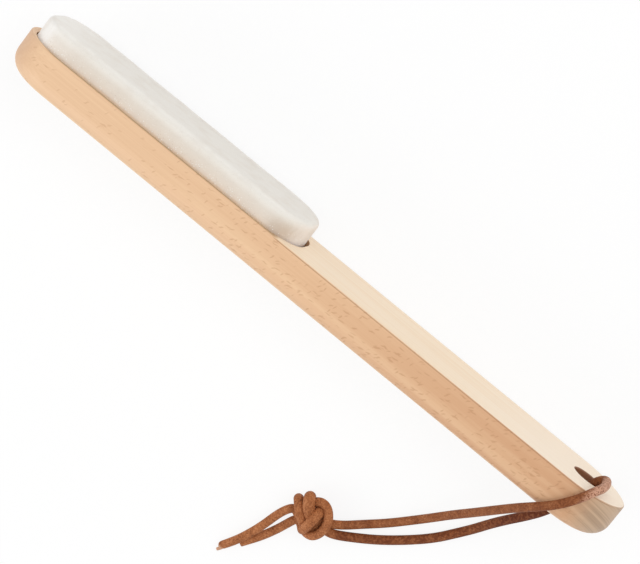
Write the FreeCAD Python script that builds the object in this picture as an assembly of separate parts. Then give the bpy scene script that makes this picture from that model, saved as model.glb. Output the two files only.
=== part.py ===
import FreeCAD, Part
import math
import os
from FreeCAD import Placement, Rotation, Vector

# Foot file: a beech bar, a pumice stone glued into its head and a leather lace tied through its handle.
# +X runs towards the head, -Y out of the stone's working face, +Z up. The bar stands on one long narrow
# edge. The origin is on the floor, midway along the bar and midway between its back and the stone's face.

# Beech bar
BAR_LENGTH = 240.0
BAR_WIDTH = 37.0
BAR_THICKNESS = 13.5
BACK_ROUNDING = 6.0
FRONT_EASING = 0.6

# Hole for the lace
HOLE_DIAMETER = 10.0
HOLE_TO_END = 14.3
HOLE_EASING = 0.5

# Pocket milled into the head
POCKET_LENGTH = 109.3
POCKET_DEPTH = 4.0
POCKET_TIP_WALL = 2.8
POCKET_SIDE_WALL = 1.0
POCKET_CORNER_WALL_SHARE = 0.73

# Pumice stone and the glue under it
STONE_PROUD = 7.8
STONE_EDGE_ROUNDING = 1.8
STONE_CLEARANCE = 0.5
STONE_INNER_END_GAP = 1.2
GLUE_THICKNESS = 0.3
GLUE_MARGIN = 0.6

# Leather lace
LACE_DIAMETER = 3.0
ARC_SHARE = 0.45

# Knot: two wraps side by side round the tails, one bight round the legs, and the strands packed inside
KNOT_PLACE = Vector(-44.6, 66.2, 0)
KNOT_TURN = 41.0
WRAP_RADIUS = 4.7
TAIL_WRAP_OFFSET = Vector(3.3, -0.8, 0)
MIDDLE_WRAP_OFFSET = Vector(0.1, -1.5, 0)
BIGHT_RADIUS = 5.2
BIGHT_OFFSET = Vector(-0.3, 1.2, 1.6)
BIGHT_TILT = 18.0
KNOT_CORE_RADIUS = 5.0

# One length by which every cutting tool reaches past the face that it cuts
OVERRUN = 1.0

# Where the two legs of the lace meet, inside the hole
LACE_JOIN = Vector(-105.9, 3.9, 18.8)

# Upper leg: from the knot over the bar's top edge, down the front face and into the hole
UPPER_LEG_ROUTE = [
    Vector(-48.6, 65.2, 5.4),
    Vector(-53.6, 62.9, 3.4),
    Vector(-59.3, 59.1, 1.7),
    Vector(-65.3, 53.8, 1.6),
    Vector(-70.5, 48.1, 2.6),
    Vector(-75.2, 42.5, 5.4),
    Vector(-80.2, 35.6, 11.2),
    Vector(-85.5, 28.1, 19.5),
    Vector(-90.6, 21.1, 28.0),
    Vector(-95.6, 14.7, 35.2),
    Vector(-99.8, 9.6, 40.2),
    Vector(-103.6, 5.2, 42.0),
    Vector(-108.0, 0.0, 42.0),
    Vector(-111.2, -4.7, 39.6),
    Vector(-112.2, -6.8, 34.0),
    Vector(-112.2, -7.2, 27.0),
    Vector(-111.2, -6.9, 21.0),
    Vector(-109.6, -5.2, 18.6),
    Vector(-107.1, 0.2, 18.4),
    LACE_JOIN,
]

# Lower leg: out of the hole at the back, down to the floor and along it to the knot
LOWER_LEG_ROUTE = [
    LACE_JOIN,
    Vector(-104.7, 7.6, 19.2),
    Vector(-101.6, 14.4, 18.4),
    Vector(-97.6, 20.6, 14.6),
    Vector(-94.0, 25.9, 10.0),
    Vector(-90.8, 31.5, 6.0),
    Vector(-87.8, 36.8, 2.7),
    Vector(-84.6, 41.6, 1.6),
    Vector(-79.7, 47.8, 1.6),
    Vector(-73.2, 54.3, 1.6),
    Vector(-66.0, 60.3, 1.6),
    Vector(-59.0, 64.6, 2.2),
    Vector(-53.4, 67.3, 3.6),
    Vector(-48.6, 68.6, 4.8),
]

# Tails: out of the knot, the long one partly over the short one, and bare at their ends
LONG_TAIL_ROUTE = [
    Vector(-41.8, 66.2, 6.2),
    Vector(-38.4, 68.5, 5.5),
    Vector(-36.5, 71.8, 5.1),
    Vector(-34.8, 76.4, 4.7),
    Vector(-32.6, 82.8, 4.3),
    Vector(-30.7, 87.3, 4.2),
    Vector(-29.1, 91.1, 3.3),
    Vector(-26.4, 96.6, 1.6),
]
SHORT_TAIL_ROUTE = [
    Vector(-44.4, 68.8, 4.2),
    Vector(-41.6, 71.9, 3.2),
    Vector(-39.7, 75.6, 2.2),
    Vector(-37.6, 80.0, 1.6),
    Vector(-34.9, 84.6, 1.6),
    Vector(-32.3, 88.9, 1.7),
]

# Places worked out from the sizes above
X_AXIS = Vector(1, 0, 0)
Y_AXIS = Vector(0, 1, 0)
Z_AXIS = Vector(0, 0, 1)
BACK_Y = (BAR_THICKNESS + STONE_PROUD) / 2
FACE_Y = BACK_Y - BAR_THICKNESS
STONE_Y = FACE_Y - STONE_PROUD
POCKET_Y = FACE_Y + POCKET_DEPTH
GLUE_Y = POCKET_Y - GLUE_THICKNESS
POCKET_TIP_X = BAR_LENGTH / 2 - POCKET_TIP_WALL
POCKET_INNER_X = POCKET_TIP_X - POCKET_LENGTH
HOLE_CENTRE = Vector(HOLE_TO_END - BAR_LENGTH / 2, FACE_Y, BAR_WIDTH / 2)


def pocket_corner():
    """Corner radius that leaves the wanted wall between the pocket's corner and the bar's round end."""
    tip_reach = BAR_WIDTH / 2 - POCKET_TIP_WALL
    side_reach = BAR_WIDTH / 2 - POCKET_SIDE_WALL
    corner_reach = BAR_WIDTH / 2 - POCKET_CORNER_WALL_SHARE * POCKET_SIDE_WALL
    spare = 2 * (corner_reach - tip_reach) * (corner_reach - side_reach)
    return tip_reach + side_reach - corner_reach - math.sqrt(spare)


def bar_outline():
    """Face of the bar's plan, two straight sides with a half circle at each end, at the front."""
    radius = BAR_WIDTH / 2
    reach = BAR_LENGTH / 2
    low_left = Vector(radius - reach, FACE_Y, 0)
    low_right = Vector(reach - radius, FACE_Y, 0)
    high_left = Vector(radius - reach, FACE_Y, BAR_WIDTH)
    high_right = Vector(reach - radius, FACE_Y, BAR_WIDTH)
    sides = [
        Part.LineSegment(low_left, low_right),
        Part.Arc(low_right, Vector(reach, FACE_Y, radius), high_right),
        Part.LineSegment(high_right, high_left),
        Part.Arc(high_left, Vector(-reach, FACE_Y, radius), low_left),
    ]
    return Part.Face(Part.Wire([side.toShape() for side in sides]))


def inset_block(inner_inset, inset, y_from, y_to):
    """Block with the pocket's plan, drawn in by inset, and by inner_inset at the end nearer the handle."""
    corner = pocket_corner() - inset
    low = Vector(POCKET_INNER_X + inner_inset, y_from, POCKET_SIDE_WALL + inset)
    high = Vector(POCKET_TIP_X - inset, y_to, BAR_WIDTH - POCKET_SIDE_WALL - inset)
    size = high - low
    block = Part.makeBox(size.x, size.y, size.z, low)
    upright = [edge for edge in block.Edges if edge.tangentAt(edge.FirstParameter).isParallel(Y_AXIS, 0)]
    return block.makeFillet(corner, upright)


def hole_cutter():
    """Straight bore through the bar, run past both faces."""
    start = HOLE_CENTRE - Y_AXIS * OVERRUN
    return Part.makeCylinder(HOLE_DIAMETER / 2, BAR_THICKNESS + 2 * OVERRUN, start, Y_AXIS)


def make_handle():
    """Bar with rounded back edges, eased front edges, the stone's pocket and the lace's hole."""
    bar = bar_outline().extrude(Y_AXIS * BAR_THICKNESS)
    back = max(bar.Faces, key=lambda face: face.CenterOfMass.y)
    bar = bar.makeFillet(BACK_ROUNDING, back.Edges)
    front = min(bar.Faces, key=lambda face: face.CenterOfMass.y)
    bar = bar.makeFillet(FRONT_EASING, front.Edges)
    bar = bar.cut(inset_block(0, 0, FACE_Y - OVERRUN, POCKET_Y))
    bar = bar.cut(hole_cutter())
    rims = [edge for edge in bar.Edges if isinstance(edge.Curve, Part.Circle) and edge.isClosed()]
    return bar.makeFillet(HOLE_EASING, rims)


def make_stone():
    """Pumice block in the pocket, on the glue, with its working face's edges rounded."""
    block = inset_block(STONE_INNER_END_GAP, STONE_CLEARANCE, STONE_Y, GLUE_Y)
    front = min(block.Faces, key=lambda face: face.CenterOfMass.y)
    return block.makeFillet(STONE_EDGE_ROUNDING, front.Edges)


def make_glue_bed():
    """Thin layer between the stone's back and the pocket's floor."""
    inner_inset = STONE_INNER_END_GAP + GLUE_MARGIN
    return inset_block(inner_inset, STONE_CLEARANCE + GLUE_MARGIN, GLUE_Y, POCKET_Y)


def unit(vector):
    """Vector of the same direction and length 1."""
    return vector * (1 / vector.Length)


def rounded_route(points):
    """Straight runs joined by tangent arcs, each as large as its two runs allow, and the arcs' radii."""
    edges = []
    radii = []
    start = points[0]
    for before, corner, after in zip(points, points[1:], points[2:]):
        back = before - corner
        ahead = after - corner
        reach = ARC_SHARE * min(back.Length, ahead.Length)
        half_turn = (math.pi - back.getAngle(ahead)) / 2
        radius = reach / math.tan(half_turn)
        inward = unit(unit(back) + unit(ahead))
        arc_start = corner + unit(back) * reach
        arc_middle = corner + inward * (radius / math.cos(half_turn) - radius)
        arc_end = corner + unit(ahead) * reach
        edges.append(Part.LineSegment(start, arc_start).toShape())
        edges.append(Part.Arc(arc_start, arc_middle, arc_end).toShape())
        radii.append(radius)
        start = arc_end
    edges.append(Part.LineSegment(start, points[-1]).toShape())
    return Part.Wire(edges), radii


def make_lace(name, points):
    """Round lace along a route. Prints its bend radii and its volume beside section times length."""
    route, radii = rounded_route(points)
    section = Part.Wire(Part.makeCircle(LACE_DIAMETER / 2, points[0], points[1] - points[0]))
    tube = route.makePipeShell([section], True, False)
    expected = math.pi * (LACE_DIAMETER / 2) ** 2 * route.Length
    print(name, "radii", [round(radius, 1) for radius in radii])
    print(name, "length", round(route.Length, 1), "volume", round(tube.Volume, 1), "of", round(expected, 1))
    return tube


def make_knot(strands):
    """Tied knot resting on the floor, with a seat for each strand that goes into it."""
    radius = LACE_DIAMETER / 2
    lean = Rotation(Y_AXIS, BIGHT_TILT).multVec(Z_AXIS)
    knot = Part.makeSphere(KNOT_CORE_RADIUS).multiFuse([
        Part.makeTorus(WRAP_RADIUS, radius, TAIL_WRAP_OFFSET, X_AXIS),
        Part.makeTorus(WRAP_RADIUS, radius, MIDDLE_WRAP_OFFSET, X_AXIS),
        Part.makeTorus(BIGHT_RADIUS, radius, BIGHT_OFFSET, lean),
    ])
    height = Z_AXIS * (WRAP_RADIUS + radius)
    knot.Placement = Placement(KNOT_PLACE + height, Rotation(Z_AXIS, KNOT_TURN))
    for strand in strands:
        knot = knot.cut(strand)
    return max(knot.Solids, key=lambda solid: solid.Volume)


def main():
    """Build every piece and write each to its own file."""
    upper_leg = make_lace("upper leg", UPPER_LEG_ROUTE)
    lower_leg = make_lace("lower leg", LOWER_LEG_ROUTE)
    long_tail = make_lace("long tail", LONG_TAIL_ROUTE)
    short_tail = make_lace("short tail", SHORT_TAIL_ROUTE)
    pieces = {
        "handle": make_handle(),
        "stone": make_stone(),
        "glue_bed": make_glue_bed(),
        "lace_upper_leg": upper_leg,
        "lace_lower_leg": lower_leg,
        "lace_knot": make_knot([upper_leg, lower_leg, long_tail, short_tail]),
        "lace_long_tail": long_tail,
        "lace_short_tail": short_tail,
    }
    os.makedirs("parts", exist_ok=True)
    for name, shape in pieces.items():
        shape.exportStep(f"parts/{name}.step")
        print(name, "solids", len(shape.Solids), "valid", shape.isValid(), "volume", round(shape.Volume, 1))


main()
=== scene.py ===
import math

import bpy
from mathutils import Matrix, Vector


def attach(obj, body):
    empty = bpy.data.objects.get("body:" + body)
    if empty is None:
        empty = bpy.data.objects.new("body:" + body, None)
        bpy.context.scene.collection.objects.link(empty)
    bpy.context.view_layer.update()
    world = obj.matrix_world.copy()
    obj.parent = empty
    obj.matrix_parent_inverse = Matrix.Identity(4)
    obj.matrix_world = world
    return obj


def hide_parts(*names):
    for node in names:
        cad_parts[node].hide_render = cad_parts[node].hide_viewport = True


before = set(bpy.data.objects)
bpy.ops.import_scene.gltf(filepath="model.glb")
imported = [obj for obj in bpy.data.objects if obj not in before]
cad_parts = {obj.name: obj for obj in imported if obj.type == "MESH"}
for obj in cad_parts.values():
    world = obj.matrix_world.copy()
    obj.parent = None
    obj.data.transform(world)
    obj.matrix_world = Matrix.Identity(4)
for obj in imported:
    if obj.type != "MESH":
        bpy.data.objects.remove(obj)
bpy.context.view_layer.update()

# Foot file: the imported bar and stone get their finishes, and the lace is drawn as two smooth strands.
# Lengths are in metres, colours are screen colours from 0 to 255.

# View: a long lens that looks almost straight down on the bar
IMAGE_WIDTH = 640
FOCAL_PIXELS = 3000
SENSOR_WIDTH = 36.0
CLIP_NEAR = 0.01
CLIP_FAR = 20
VIEW_FROM = Vector((-0.12990, -0.18838, 0.92997))
VIEW_RIGHT = Vector((-0.766497, -0.598566, -0.232811))
VIEW_DOWN = Vector((-0.627791, 0.774764, 0.074964))

# Light
SKY_STRENGTH = 0.72
KEY_PLACE = (-0.6, -0.8, 1.4)
KEY_SIZE = 1.0
KEY_WATTS = 9
FILL_PLACE = (0.8, 1.1, 0.7)
FILL_SIZE = 1.2
FILL_WATTS = 8
FLOOR_HALF = 3.0
FLOOR_DROP = -0.0002
FLOOR_GREY = 0.92
FLOOR_GLOW_SHARE = 0.85

# Places on the bar
HALF_LENGTH = 0.12
HOLE_X = -0.1057
HOLE_Z = 0.0185
HOLE_WALL_REACH = 0.0052
HOLE_RIM_REACH = 0.0054
EDGE_LINE_Y = -0.0024
EDGE_LINE_REACH = 0.0002
RIM_START_X = 0.0131
RIM_FULL_X = 0.0158
RIM_FADE_X = 0.104
RIM_END_X = 0.112
RIM_LINE_Y = -0.0025
CUT_START_X = -0.09
CUT_FULL_X = -0.11
PALER_START_X = -0.05
PALER_FULL_X = -0.10
FLECKS_THICK_X = -0.05

# Marks of all kinds: how far they and their cores reach, as shares of a cell
MARK_EDGE = 0.34
MARK_CORE = 0.14

# Beech: colours, and sizes of its marks along x, y and z
# Narrow sides, handle's end to head: darker towards the handle, partly the wood's own tone and partly
# painted shade
SIDE_STOPS = [(0.05, (204, 157, 118)), (0.5, (222, 181, 142)), (0.95, (228, 190, 152))]
FIBRE_COLOUR = (196, 150, 108)
FIBRE_SIZES = (0.030, 0.0004, 0.0006)
FIBRE_RELIEF = 0.0002
LAYER_COLOUR = (244, 212, 172)
LAYER_SIZES = (0.120, 0.003, 0.0020)
FLECK_COLOUR = (172, 122, 80)
FLECK_WIDTH = 0.0009
FLECK_DEPTH = 0.02
FLECK_BEND_SIZE = 0.0016
FLECK_BEND_REACH = 0.0009
# Pale wide faces: partly the wood's own tone, partly a painted sheen
PALE_AND_SHEEN_COLOUR = (247, 227, 200)
STREAK_COLOUR = (243, 218, 187)
STREAK_SIZES = (0.060, 0.0012, 0.0010)
PALER_COLOUR = (247, 232, 213)
CUT_COLOUR = (194, 164, 134)
CUT_LINE_COLOUR = (168, 139, 112)
CUT_LINE_SIZES = (0.050, 0.0007, 0.050)
CUT_LINE_TURNS = (17, 0, 0)
# Painted shade on the round end at the head
HEAD_SHADE_COLOUR = (205, 162, 128)
# Painted shade line along the upper front edge
EDGE_SHADE_COLOUR = (150, 104, 66)
# Painted shade on the rim where it meets the stone's base
RIM_SHADE_COLOUR = (168, 136, 98)
# Painted shade on the wall inside the lace's hole
HOLE_SHADE_COLOUR = (140, 92, 62)

# Three kinds of flecks: length, turn in degrees and how much rarer the kind is
FLECK_KINDS = [(0.0050, 8, 0.0), (0.0036, 37, 0.0), (0.0028, 64, 0.1)]

# Places on the stone
STONE_FACE_Y = -0.01065
STONE_BASE_Y = -0.00285
STONE_MIDDLE_Z = 0.0185
STONE_HEAD_X = 0.09
FACE_RIM_START = 0.0115
FACE_RIM_FULL = 0.0155

# Pumice: colours, sizes of its marks, and relief as name, size and height
# Stone's sides from base to face: the warm dark band at the base is painted shade where stone meets
# wood, the lighter top a painted highlight near the ridge
STONE_SIDE_STOPS = [
    (0.0, (231, 204, 174)),
    (0.03, (231, 215, 198)),
    (0.2, (224, 212, 198)),
    (0.6, (222, 213, 201)),
    (1.0, (234, 230, 222)),
]
FACE_COLOUR = (233, 229, 222)
# Painted highlight along the face's rounded border
FACE_RIDGE_HIGHLIGHT_COLOUR = (238, 234, 227)
# Painted highlight that whitens the stone's head
STONE_HEAD_HIGHLIGHT_COLOUR = (247, 245, 242)
# Painted shade on the inner end's corners, darker towards the base
INNER_CORNER_SHADE_COLOUR = (206, 190, 173)
# Painted light on the stone's inner end face
INNER_END_LIGHT_COLOUR = (240, 233, 227)
STONE_CLOUD_COLOUR = (217, 206, 193)
STONE_CLOUD_SIZE = 0.006
CLUSTER_SIZE = 0.003
PORE_COLOUR = (184, 165, 142)
PORE_SIZE = 0.0007
GRAIN_COLOUR = (252, 251, 249)
GRAIN_SIZE = 0.0006
ROUGH_SIZE = 0.0007
ROUGH_RELIEF = 0.0003
STONE_VOXEL = 0.0006
STONE_RELIEFS = [("dents", 0.012, 0.0002), ("grains", 0.0012, 0.0002)]

# Glue
GLUE_COLOUR = (186, 150, 104)
GLUE_CLOUD_COLOUR = (214, 186, 142)
GLUE_CLOUD_SIZE = 0.004

# Leather: colours, sizes of its marks, and where its shade, its bend and its frayed end lie
HIDE_STOPS = [(0.34, (120, 68, 38)), (0.5, (160, 98, 58)), (0.66, (188, 126, 84))]
SPECKLE_SIZE = 0.0005
SPECKLE_SHARE = 0.6
SPECKLE_RELIEF = 0.0004
HIDE_CLOUD_SIZE = 0.004
PATCH_SIZE = 0.0009
SHADE_COLOUR = (92, 40, 12)
SHADE_START_X = -0.052
SHADE_FULL_X = -0.056
DEEP_START_X = -0.078
DEEP_FULL_X = -0.096
BEND_COLOUR = (208, 160, 134)
BEND_START_X = -0.1080
BEND_FULL_X = -0.1110
BEND_INSIDE_Z = 0.0205
BEND_OUTSIDE_Z = 0.0225
FRAY_COLOUR = (216, 174, 144)
FRAY_START_Y = 0.0943
FRAY_FULL_Y = 0.0953

# Lace: its diameter, and each leg's shade at the knot and at the hole
LACE_DIAMETER = 0.003
UPPER_SHADES = (0.43, 0.5)
LOWER_SHADES = (0.67, 0.93)

# Upper strand: out of the hole's front, over the top edge and down to the knot
UPPER_LEG = [
    (-0.1059, 0.0040, 0.0188),
    (-0.1071, 0.0003, 0.0184),
    (-0.1090, -0.0044, 0.0184),
    (-0.1109, -0.0062, 0.0200),
    (-0.1118, -0.0061, 0.0260),
    (-0.1117, -0.0057, 0.0325),
    (-0.1109, -0.0053, 0.0376),
    (-0.1082, -0.0001, 0.0396),
    (-0.1041, 0.0057, 0.0396),
    (-0.1000, 0.0100, 0.0382),
    (-0.0956, 0.0148, 0.0345),
    (-0.0906, 0.0212, 0.0280),
    (-0.0855, 0.0282, 0.0195),
    (-0.0800, 0.0354, 0.0112),
    (-0.0749, 0.0422, 0.0054),
    (-0.0702, 0.0478, 0.0026),
    (-0.0650, 0.0535, 0.0016),
    (-0.0591, 0.0589, 0.0017),
    (-0.0545, 0.0629, 0.0034),
]
# Under the knot and up at its back
UPPER_UNDER = [
    (-0.0506, 0.0654, 0.0042),
    (-0.0484, 0.0658, 0.0032),
    (-0.0454, 0.0653, 0.0022),
    (-0.0421, 0.0639, 0.0022),
    (-0.0402, 0.0626, 0.0038),
]
# Broad turn across the top of the knot
UPPER_ACROSS = [
    (-0.0408, 0.0616, 0.0072),
    (-0.0411, 0.0610, 0.0102),
    (-0.0420, 0.0624, 0.0112),
    (-0.0432, 0.0642, 0.0106),
    (-0.0446, 0.0658, 0.0088),
    (-0.0460, 0.0673, 0.0062),
]
# Back inside the knot and round its right side
UPPER_ROUND = [
    (-0.0462, 0.0677, 0.0044),
    (-0.0448, 0.0662, 0.0042),
    (-0.0428, 0.0647, 0.0054),
    (-0.0424, 0.0627, 0.0074),
    (-0.0435, 0.0612, 0.0086),
    (-0.0452, 0.0600, 0.0090),
    (-0.0473, 0.0603, 0.0090),
    (-0.0490, 0.0617, 0.0088),
    (-0.0504, 0.0640, 0.0084),
    (-0.0508, 0.0667, 0.0076),
    (-0.0502, 0.0696, 0.0066),
    (-0.0488, 0.0718, 0.0054),
    (-0.0467, 0.0725, 0.0042),
    (-0.0443, 0.0721, 0.0034),
    (-0.0421, 0.0705, 0.0038),
]
# Out of the knot, then over the end of the short tail
LONG_TAIL = [
    (-0.0400, 0.0687, 0.0048),
    (-0.0383, 0.0686, 0.0054),
    (-0.0366, 0.0714, 0.0052),
    (-0.0354, 0.0749, 0.0049),
    (-0.0343, 0.0792, 0.0046),
    (-0.0329, 0.0833, 0.0043),
    (-0.0310, 0.0879, 0.0040),
    (-0.0292, 0.0913, 0.0031),
]
# Thin frayed nib at the cut end
LONG_TIP = [
    (-0.0278, 0.0937, 0.0020),
    (-0.0273, 0.0945, 0.0017),
    (-0.0277, 0.0955, 0.0011),
    (-0.0268, 0.0968, 0.0007),
]

# Lower strand: out of the hole's back and down to the knot
LOWER_LEG = [
    (-0.1059, 0.0040, 0.0188),
    (-0.1047, 0.0077, 0.0192),
    (-0.1016, 0.0145, 0.0184),
    (-0.0976, 0.0207, 0.0146),
    (-0.0940, 0.0260, 0.0100),
    (-0.0906, 0.0314, 0.0060),
    (-0.0876, 0.0366, 0.0027),
    (-0.0843, 0.0413, 0.0016),
    (-0.0795, 0.0476, 0.0016),
    (-0.0729, 0.0540, 0.0016),
    (-0.0657, 0.0600, 0.0016),
    (-0.0589, 0.0645, 0.0022),
    (-0.0540, 0.0672, 0.0036),
]
# Under the knot and up at its left
LOWER_UNDER = [
    (-0.0510, 0.0679, 0.0042),
    (-0.0484, 0.0679, 0.0028),
    (-0.0449, 0.0676, 0.0019),
    (-0.0411, 0.0671, 0.0019),
    (-0.0380, 0.0657, 0.0026),
]
# Left turn of the knot, over both tails
LOWER_ACROSS = [
    (-0.0380, 0.0649, 0.0054),
    (-0.0384, 0.0643, 0.0082),
    (-0.0396, 0.0651, 0.0096),
    (-0.0408, 0.0665, 0.0098),
    (-0.0423, 0.0680, 0.0090),
    (-0.0441, 0.0696, 0.0072),
    (-0.0453, 0.0712, 0.0050),
]
# Inside the knot, then over its front
LOWER_OVER = [
    (-0.0465, 0.0714, 0.0038),
    (-0.0477, 0.0691, 0.0044),
    (-0.0474, 0.0661, 0.0054),
    (-0.0460, 0.0630, 0.0066),
    (-0.0464, 0.0630, 0.0098),
    (-0.0464, 0.0652, 0.0108),
    (-0.0461, 0.0679, 0.0102),
    (-0.0457, 0.0702, 0.0088),
    (-0.0453, 0.0718, 0.0066),
    (-0.0448, 0.0722, 0.0042),
]
# Out of the knot, to the shorter cut end
SHORT_TAIL = [
    (-0.0430, 0.0713, 0.0030),
    (-0.0411, 0.0714, 0.0032),
    (-0.0398, 0.0746, 0.0030),
    (-0.0384, 0.0781, 0.0022),
    (-0.0362, 0.0826, 0.0017),
    (-0.0340, 0.0862, 0.0016),
    (-0.0316, 0.0897, 0.0016),
]

# Each stretch with its girth: in the knot the lace is squeezed wider
UPPER_STRETCHES = [
    (UPPER_LEG, 0.97),
    (UPPER_UNDER, 1.0),
    (UPPER_ACROSS, 1.32),
    (UPPER_ROUND, 1.04),
    (LONG_TAIL, 0.97),
    (LONG_TIP[:2], 0.92),
    (LONG_TIP[2:], 0.36),
]
LOWER_STRETCHES = [
    (LOWER_LEG, 1.06),
    (LOWER_UNDER, 1.0),
    (LOWER_ACROSS, 1.14),
    (LOWER_OVER, 1.12),
    (SHORT_TAIL, 0.97),
]


def screen(colour):
    """Shader colour of a screen colour, by the usual screen curve."""
    shares = [value / 255 for value in colour]
    return (*(c / 12.92 if c <= 0.04045 else ((c + 0.055) / 1.055) ** 2.4 for c in shares), 1.0)


def link_object(name, data):
    """New object in the scene."""
    made = bpy.data.objects.new(name, data)
    bpy.context.scene.collection.objects.link(made)
    return made


def add_node(tree, kind, inputs, **settings):
    """New node; an input is a value or a socket to link."""
    made = tree.nodes.new(kind)
    for name, value in settings.items():
        setattr(made, name, value)
    for name, value in inputs.items():
        if isinstance(value, bpy.types.NodeSocket):
            tree.links.new(value, made.inputs[name])
        else:
            made.inputs[name].default_value = value
    return made


def sums(tree, how, first, second=0.0):
    """Arithmetic on one or two values."""
    return add_node(tree, "ShaderNodeMath", {0: first, 1: second}, operation=how).outputs[0]


def blend(tree, share, first, second):
    """Two colours mixed by a share."""
    inputs = {0: share, 6: first, 7: second}
    return add_node(tree, "ShaderNodeMix", inputs, data_type="RGBA").outputs[2]


def step(tree, value, start, end, low=0.0, high=1.0):
    """Smooth step from low to high while the value goes from start to end."""
    inputs = {"Value": value, "From Min": start, "From Max": end, "To Min": low, "To Max": high}
    made = add_node(tree, "ShaderNodeMapRange", inputs, interpolation_type="SMOOTHSTEP")
    return made.outputs["Result"]


def even(size):
    """The same size in all three directions."""
    return (size, size, size)


def stretched(tree, place, lengths, turns=(0, 0, 0)):
    """Coordinates in units of three lengths, after turns in degrees about the axes."""
    angles = [math.radians(turn) for turn in turns]
    inputs = {"Vector": place, "Rotation": angles, "Scale": lengths}
    return add_node(tree, "ShaderNodeMapping", inputs, vector_type="TEXTURE").outputs["Vector"]


def grain(tree, place, lengths, detail=2.0, turns=(0, 0, 0)):
    """Noise from 0 to 1 with a grain size for each direction."""
    inputs = {"Vector": stretched(tree, place, lengths, turns), "Scale": 1.0, "Detail": detail}
    return add_node(tree, "ShaderNodeTexNoise", inputs).outputs["Fac"]


def flecks(tree, place, lengths, turn, rarity):
    """Scattered spindle marks, one in each cell whose random number passes the rarity."""
    inputs = {"Vector": stretched(tree, place, lengths, (0, 0, turn)), "Scale": 1.0}
    cells = add_node(tree, "ShaderNodeTexVoronoi", inputs)
    mark = step(tree, cells.outputs["Distance"], MARK_EDGE, MARK_CORE)
    chance = add_node(tree, "ShaderNodeSeparateColor", {"Color": cells.outputs["Color"]}).outputs["Red"]
    return sums(tree, "MULTIPLY", mark, sums(tree, "GREATER_THAN", chance, rarity))


def ramp(tree, value, stops):
    """Colour that follows a value through stops of place and screen colour."""
    made = add_node(tree, "ShaderNodeValToRGB", {"Fac": value})
    elements = made.color_ramp.elements
    for element, (place, colour) in zip(elements, stops):
        element.position = place
        element.color = screen(colour)
    for place, colour in stops[len(elements):]:
        elements.new(place).color = screen(colour)
    return made.outputs["Color"]


def new_material(name, roughness):
    """Material with its node tree, shader, object coordinates and object normal."""
    material = bpy.data.materials.new(name)
    material.use_nodes = True
    tree = material.node_tree
    shader = tree.nodes["Principled BSDF"]
    shader.inputs["Roughness"].default_value = roughness
    source = add_node(tree, "ShaderNodeTexCoord", {})
    return material, tree, shader, source.outputs["Object"], source.outputs["Normal"]


def split(tree, vector):
    """Three parts of a vector."""
    return add_node(tree, "ShaderNodeSeparateXYZ", {"Vector": vector}).outputs


def add_bump(tree, shader, height, strength, distance):
    """Fine relief from a height."""
    inputs = {"Height": height, "Strength": strength, "Distance": distance}
    relief = add_node(tree, "ShaderNodeBump", inputs)
    tree.links.new(relief.outputs["Normal"], shader.inputs["Normal"])


def bent_place(tree, place, size, reach):
    """Coordinates pushed about a little, so that marks on them come out uneven."""
    inputs = {"Vector": stretched(tree, place, even(size)), "Scale": 1.0, "Detail": 1.0}
    noise = add_node(tree, "ShaderNodeTexNoise", inputs).outputs["Color"]
    push = add_node(tree, "ShaderNodeVectorMath", {0: noise, "Scale": reach}, operation="SCALE")
    moved = add_node(tree, "ShaderNodeVectorMath", {0: place, 1: push.outputs[0]}, operation="ADD")
    return moved.outputs[0]


def fleck_share(tree, place, x):
    """Share of the short dark flecks, thicker and deeper towards the handle's end."""
    uneven = bent_place(tree, place, FLECK_BEND_SIZE, FLECK_BEND_REACH)
    rarity = step(tree, x, FLECKS_THICK_X, HALF_LENGTH, 0.5, 0.85)
    marks = 0.0
    for length, turn, rarer in FLECK_KINDS:
        sizes = (length, FLECK_WIDTH, FLECK_DEPTH)
        kind = flecks(tree, uneven, sizes, turn, sums(tree, "ADD", rarity, rarer))
        marks = sums(tree, "MAXIMUM", marks, kind)
    return sums(tree, "MULTIPLY", marks, step(tree, x, FLECKS_THICK_X, HALF_LENGTH, 0.42, 0.25))


def side_wood(tree, place, x):
    """Narrow sides: warm, darker towards the handle's end partly from painted shade, with fine fibres
    and short flecks.
    """
    wood = ramp(tree, step(tree, x, -HALF_LENGTH, HALF_LENGTH), SIDE_STOPS)
    fibres = grain(tree, place, FIBRE_SIZES, 3.0)
    wood = blend(tree, step(tree, fibres, 0.35, 0.75, 0.0, 0.18), wood, screen(FIBRE_COLOUR))
    layers = grain(tree, place, LAYER_SIZES)
    wood = blend(tree, step(tree, layers, 0.45, 0.75, 0.0, 0.25), wood, screen(LAYER_COLOUR))
    return blend(tree, fleck_share(tree, place, x), wood, screen(FLECK_COLOUR)), fibres


def wide_wood(tree, place, x):
    """Wide faces: pale with soft streaks, paler still towards the handle's end; the pale tone is partly
    the wood's own and partly a painted sheen.
    """
    streaks = step(tree, grain(tree, place, STREAK_SIZES), 0.35, 0.7)
    wood = blend(tree, streaks, screen(PALE_AND_SHEEN_COLOUR), screen(STREAK_COLOUR))
    near_end = step(tree, x, PALER_START_X, PALER_FULL_X, 0.0, 0.7)
    return blend(tree, near_end, wood, screen(PALER_COLOUR))


def wide_share(tree, x, facing_y):
    """1 on the wide faces, where the pale tone carries a painted sheen; not on the narrow rim beside
    the stone.
    """
    back = step(tree, facing_y, 0.85, 1.0)
    front = step(tree, facing_y, -0.6, -0.97)
    front = sums(tree, "MULTIPLY", front, step(tree, x, RIM_FULL_X, RIM_START_X))
    return sums(tree, "MAXIMUM", back, front)


def cut_wood(tree, place):
    """Round end of the handle: greyer, with the lines of cut fibres."""
    lines = step(tree, grain(tree, place, CUT_LINE_SIZES, 2.0, CUT_LINE_TURNS), 0.4, 0.7)
    return blend(tree, lines, screen(CUT_COLOUR), screen(CUT_LINE_COLOUR))


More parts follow.
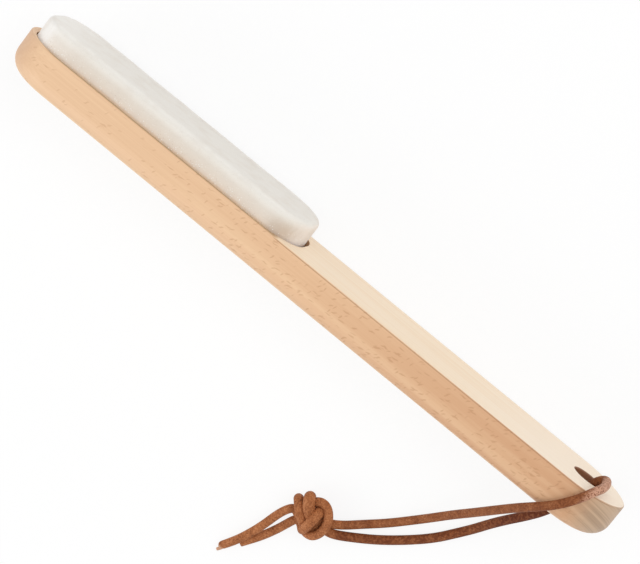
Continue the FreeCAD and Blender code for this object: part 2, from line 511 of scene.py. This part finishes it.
def cut_share(tree, x, facing_x):
    """1 on the round end of the handle."""
    round_end = step(tree, sums(tree, "ABSOLUTE", facing_x), 0.2, 0.75)
    return sums(tree, "MULTIPLY", round_end, step(tree, x, CUT_START_X, CUT_FULL_X))


def edge_shade_share(tree, x, y, facing_z):
    """Share of the painted shade line along the handle's upper front edge."""
    off_line = sums(tree, "ABSOLUTE", sums(tree, "SUBTRACT", y, EDGE_LINE_Y))
    on_line = step(tree, off_line, EDGE_LINE_REACH, 0.0)
    on_line = sums(tree, "MULTIPLY", on_line, step(tree, x, RIM_FULL_X, RIM_START_X))
    return sums(tree, "MULTIPLY", on_line, step(tree, facing_z, 0.3, 0.7, 0.0, 0.75))


def rim_shade_share(tree, x, y):
    """Share of the painted shade along the rim beside the stone, at the stone's base."""
    beside_stone = step(tree, x, RIM_START_X, RIM_FULL_X)
    beside_stone = sums(tree, "MULTIPLY", beside_stone, step(tree, x, RIM_END_X, RIM_FADE_X))
    return sums(tree, "MULTIPLY", beside_stone, step(tree, y, RIM_LINE_Y, STONE_BASE_Y, 0.0, 0.8))


def hole_shade_share(tree, x, z):
    """1 on the wall of the lace's hole, where painted shade darkens it."""
    across = sums(tree, "POWER", sums(tree, "SUBTRACT", x, HOLE_X), 2.0)
    upward = sums(tree, "POWER", sums(tree, "SUBTRACT", z, HOLE_Z), 2.0)
    reach = sums(tree, "SQRT", sums(tree, "ADD", across, upward))
    return step(tree, reach, HOLE_RIM_REACH, HOLE_WALL_REACH)


def make_beech():
    """Beech: warm flecked narrow sides, pale wide faces partly from a painted sheen, greyer streaked
    round end, and painted shade on the head's end, along the upper front edge, on the rim beside the
    stone and in the lace's hole.
    """
    material, tree, shader, place, normal = new_material("beech", 0.5)
    x, y, z = split(tree, place)
    facing_x, facing_y, facing_z = split(tree, normal)
    wood, fibres = side_wood(tree, place, x)
    # Wide faces: pale tone with painted sheen
    wood = blend(tree, wide_share(tree, x, facing_y), wood, wide_wood(tree, place, x))
    wood = blend(tree, cut_share(tree, x, facing_x), wood, cut_wood(tree, place))
    # Painted shade on the round end at the head, chosen by which way the surface faces
    wood = blend(tree, step(tree, facing_x, 0.3, 0.95, 0.0, 0.6), wood, screen(HEAD_SHADE_COLOUR))
    # Painted shade line along the upper front edge
    wood = blend(tree, edge_shade_share(tree, x, y, facing_z), wood, screen(EDGE_SHADE_COLOUR))
    # Painted shade on the rim at the stone's base
    wood = blend(tree, rim_shade_share(tree, x, y), wood, screen(RIM_SHADE_COLOUR))
    # Painted shade inside the lace's hole
    wood = blend(tree, hole_shade_share(tree, x, z), wood, screen(HOLE_SHADE_COLOUR))
    tree.links.new(wood, shader.inputs["Base Color"])
    add_bump(tree, shader, fibres, 0.15, FIBRE_RELIEF)
    return material


def stone_body(tree, z, height, facing_y):
    """Stone's sides from base to face, with painted shade at the base and a painted highlight near the
    ridge, and its face with a lighter border of painted highlight.
    """
    side = ramp(tree, height, STONE_SIDE_STOPS)
    off_middle = sums(tree, "ABSOLUTE", sums(tree, "SUBTRACT", z, STONE_MIDDLE_Z))
    near_edge = step(tree, off_middle, FACE_RIM_START, FACE_RIM_FULL)
    face = blend(tree, near_edge, screen(FACE_COLOUR), screen(FACE_RIDGE_HIGHLIGHT_COLOUR))
    return blend(tree, step(tree, facing_y, -0.55, -0.97), side, face)


def stone_ends(tree, stone, x, height, facing_x):
    """Stone's head whitened by a painted highlight, and its inner end with painted shade on its corners
    and painted light on its end face.
    """
    # Painted highlight on the head, by facing and by nearness to the head's end
    near_head = step(tree, x, STONE_HEAD_X, HALF_LENGTH, 0.0, 0.5)
    head = sums(tree, "MAXIMUM", step(tree, facing_x, 0.2, 0.7), near_head)
    stone = blend(tree, sums(tree, "MULTIPLY", head, 0.8), stone, screen(STONE_HEAD_HIGHLIGHT_COLOUR))
    # Painted shade on the inner end's corners, stronger low down
    corner = step(tree, facing_x, -0.1, -0.5, 0.0, 0.8)
    corner = sums(tree, "MULTIPLY", corner, step(tree, height, 0.9, 0.2))
    stone = blend(tree, corner, stone, screen(INNER_CORNER_SHADE_COLOUR))
    # Painted light on the inner end face
    inner_end = step(tree, facing_x, -0.65, -0.98, 0.0, 0.8)
    return blend(tree, inner_end, stone, screen(INNER_END_LIGHT_COLOUR))


def stone_marks(tree, stone, place, height):
    """Clouds, dark pores and white grains, most of them near the base; also gives the pores."""
    clouds = grain(tree, place, even(STONE_CLOUD_SIZE), 3.0)
    stone = blend(tree, step(tree, clouds, 0.4, 0.75, 0.0, 0.3), stone, screen(STONE_CLOUD_COLOUR))
    clusters = step(tree, grain(tree, place, even(CLUSTER_SIZE)), 0.38, 0.6)
    near_base = sums(tree, "MULTIPLY", step(tree, height, 0.5, 0.1), clusters)
    pores = flecks(tree, place, even(PORE_SIZE), 0, 0.6)
    pore_share = sums(tree, "MULTIPLY", pores, step(tree, near_base, 0.0, 1.0, 0.1, 0.4))
    stone = blend(tree, pore_share, stone, screen(PORE_COLOUR))
    grains = flecks(tree, place, even(GRAIN_SIZE), 30, 0.45)
    grain_share = sums(tree, "MULTIPLY", grains, step(tree, near_base, 0.0, 1.0, 0.15, 0.8))
    return blend(tree, grain_share, stone, screen(GRAIN_COLOUR)), pores


def make_pumice():
    """Pumice: pale, with painted highlights on its ridges and head, and grains and pores near its base.
    """
    material, tree, shader, place, normal = new_material("pumice", 0.95)
    x, y, z = split(tree, place)
    facing_x, facing_y, _ = split(tree, normal)
    height = step(tree, y, STONE_BASE_Y, STONE_FACE_Y)
    stone = stone_body(tree, z, height, facing_y)
    stone = stone_ends(tree, stone, x, height, facing_x)
    stone, pores = stone_marks(tree, stone, place, height)
    tree.links.new(stone, shader.inputs["Base Color"])
    rough = grain(tree, place, even(ROUGH_SIZE), 4.0)
    add_bump(tree, shader, sums(tree, "SUBTRACT", rough, pores), 0.3, ROUGH_RELIEF)
    return material


def make_glue():
    """Glue: dull amber with cloudy patches."""
    material, tree, shader, place, _ = new_material("glue", 0.4)
    clouds = grain(tree, place, even(GLUE_CLOUD_SIZE), 3.0)
    colour = blend(tree, clouds, screen(GLUE_COLOUR), screen(GLUE_CLOUD_COLOUR))
    tree.links.new(colour, shader.inputs["Base Color"])
    return material


def leg_share(tree, place, x, shades):
    """Patchy share of shade along a leg, from its shade at the knot to that at the hole."""
    knot_shade, hole_shade = shades
    shade = step(tree, x, SHADE_START_X, SHADE_FULL_X, 0.0, knot_shade)
    shade = sums(tree, "MAXIMUM", shade, step(tree, x, DEEP_START_X, DEEP_FULL_X, 0.0, hole_shade))
    patches = grain(tree, place, even(PATCH_SIZE), 3.0)
    return sums(tree, "MULTIPLY", shade, step(tree, patches, 0.6, 0.4, 0.75, 1.25))


def bend_share(tree, x, z, speckle):
    """Speckled share on the outside of the bend in front of the hole."""
    bent = step(tree, x, BEND_START_X, BEND_FULL_X)
    bent = sums(tree, "MULTIPLY", bent, step(tree, speckle, 0.35, 0.55))
    return sums(tree, "MULTIPLY", bent, step(tree, z, BEND_INSIDE_Z, BEND_OUTSIDE_Z, 0.0, 0.9))


def make_leather(name, shades):
    """Leather: brown and speckled, darker along its leg, rosier where it is bent outside the hole."""
    material, tree, shader, place, _ = new_material(name, 0.65)
    shader.inputs["Specular IOR Level"].default_value = 0.2
    x, y, z = split(tree, place)
    speckle = grain(tree, place, even(SPECKLE_SIZE), 4.0)
    clouds = grain(tree, place, even(HIDE_CLOUD_SIZE), 3.0)
    mottle = sums(tree, "MULTIPLY", speckle, SPECKLE_SHARE)
    mottle = sums(tree, "ADD", mottle, sums(tree, "MULTIPLY", clouds, 1 - SPECKLE_SHARE))
    hide = ramp(tree, mottle, HIDE_STOPS)
    hide = blend(tree, leg_share(tree, place, x, shades), hide, screen(SHADE_COLOUR))
    hide = blend(tree, bend_share(tree, x, z, speckle), hide, screen(BEND_COLOUR))
    frayed = step(tree, y, FRAY_START_Y, FRAY_FULL_Y, 0.0, 0.6)
    hide = blend(tree, frayed, hide, screen(FRAY_COLOUR))
    tree.links.new(hide, shader.inputs["Base Color"])
    add_bump(tree, shader, speckle, 0.5, SPECKLE_RELIEF)
    return material


def make_camera():
    """Camera at the photograph's place."""
    data = bpy.data.cameras.new("camera")
    data.sensor_width = SENSOR_WIDTH
    data.lens = SENSOR_WIDTH * FOCAL_PIXELS / IMAGE_WIDTH
    data.clip_start = CLIP_NEAR
    data.clip_end = CLIP_FAR
    camera = link_object("camera", data)
    forward = VIEW_RIGHT.cross(VIEW_DOWN)
    turn = Matrix((VIEW_RIGHT, -VIEW_DOWN, -forward)).transposed().to_4x4()
    camera.matrix_world = Matrix.Translation(VIEW_FROM) @ turn
    bpy.context.scene.camera = camera


def make_lamp(name, place, size, watts):
    """Large soft lamp that points at the object."""
    data = bpy.data.lights.new(name, "AREA")
    data.size = size
    data.energy = watts
    lamp = link_object(name, data)
    lamp.location = place
    lamp.rotation_euler = (-Vector(place)).to_track_quat("-Z", "Y").to_euler()


def seen_directly(tree):
    """1 for camera, mirror and glass rays and 0 for the rays that carry light."""
    path = add_node(tree, "ShaderNodeLightPath", {}).outputs
    clear = sums(tree, "MAXIMUM", path["Is Glossy Ray"], path["Is Transmission Ray"])
    return sums(tree, "MAXIMUM", path["Is Camera Ray"], clear)


def make_world():
    """White surroundings that light the object softly."""
    world = bpy.data.worlds.new("studio")
    bpy.context.scene.world = world
    world.use_nodes = True
    tree = world.node_tree
    background = tree.nodes["Background"]
    background.inputs["Color"].default_value = (1, 1, 1, 1)
    strength = step(tree, seen_directly(tree), 0.0, 1.0, SKY_STRENGTH, 1.0)
    tree.links.new(strength, background.inputs["Strength"])


def make_floor():
    """Pale floor that keeps the shadow and is seen near white."""
    corners = [(-1, -1), (1, -1), (1, 1), (-1, 1)]
    mesh = bpy.data.meshes.new("floor")
    places = [(FLOOR_HALF * x, FLOOR_HALF * y, FLOOR_DROP) for x, y in corners]
    mesh.from_pydata(places, [], [(0, 1, 2, 3)])
    floor = link_object("floor", mesh)
    material = bpy.data.materials.new("floor")
    material.use_nodes = True
    tree = material.node_tree
    matt = tree.nodes["Principled BSDF"]
    matt.inputs["Base Color"].default_value = (*even(FLOOR_GREY), 1)
    matt.inputs["Roughness"].default_value = 1.0
    matt.inputs["Specular IOR Level"].default_value = 0.0
    glow = add_node(tree, "ShaderNodeEmission", {"Color": (1, 1, 1, 1), "Strength": 1.0})
    share = sums(tree, "MULTIPLY", seen_directly(tree), FLOOR_GLOW_SHARE)
    inputs = {0: share, 1: matt.outputs["BSDF"], 2: glow.outputs["Emission"]}
    mixed = add_node(tree, "ShaderNodeMixShader", inputs)
    tree.links.new(mixed.outputs[0], tree.nodes["Material Output"].inputs["Surface"])
    mesh.materials.append(material)


def dress(name, material):
    """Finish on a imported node."""
    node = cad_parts[name]
    node.data.materials.clear()
    node.data.materials.append(material)
    return node


def roughen(stone):
    """Slightly uneven, grainy stone surface."""
    remesh = stone.modifiers.new("even faces", "REMESH")
    remesh.mode = "VOXEL"
    remesh.voxel_size = STONE_VOXEL
    remesh.use_smooth_shade = True
    for name, size, strength in STONE_RELIEFS:
        texture = bpy.data.textures.new(name, "CLOUDS")
        texture.noise_scale = size
        texture.noise_depth = 2
        push = stone.modifiers.new(name, "DISPLACE")
        push.texture = texture
        push.texture_coords = "LOCAL"
        push.strength = strength
        push.mid_level = 0.5


def add_strand(name, stretches, material):
    """Round lace on a smooth spline whose control points are the route's points."""
    points = [place for stretch, girth in stretches for place in stretch]
    girths = [girth for stretch, girth in stretches for place in stretch]
    curve = bpy.data.curves.new(name, "CURVE")
    curve.dimensions = "3D"
    spline = curve.splines.new("NURBS")
    spline.points.add(len(points) - 1)
    for point, place, girth in zip(spline.points, points, girths):
        point.co = (*place, 1)
        point.radius = girth
    spline.order_u = 3
    spline.use_endpoint_u = True
    spline.resolution_u = 8
    curve.bevel_depth = LACE_DIAMETER / 2
    curve.bevel_resolution = 6
    curve.use_fill_caps = True
    curve.materials.append(material)
    strand = link_object(name, curve)
    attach(strand, "hanging_loop")
    return strand


def make_lace():
    """Both halves of the lace, which meet inside the hole."""
    leather = make_leather("leather", UPPER_SHADES)
    upper = add_strand("lace_upper_strand", UPPER_STRETCHES, leather)
    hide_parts("lace_upper_leg", "lace_knot", "lace_long_tail")
    shaded = make_leather("shaded leather", LOWER_SHADES)
    lower = add_strand("lace_lower_strand", LOWER_STRETCHES, shaded)
    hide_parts("lace_lower_leg", "lace_short_tail")


def main():
    """Build the scene."""
    bpy.context.scene.view_settings.view_transform = "Standard"
    make_camera()
    make_lamp("key", KEY_PLACE, KEY_SIZE, KEY_WATTS)
    make_lamp("fill", FILL_PLACE, FILL_SIZE, FILL_WATTS)
    make_world()
    make_floor()
    dress("handle", make_beech())
    dress("glue_bed", make_glue())
    roughen(dress("stone", make_pumice()))
    make_lace()


main()
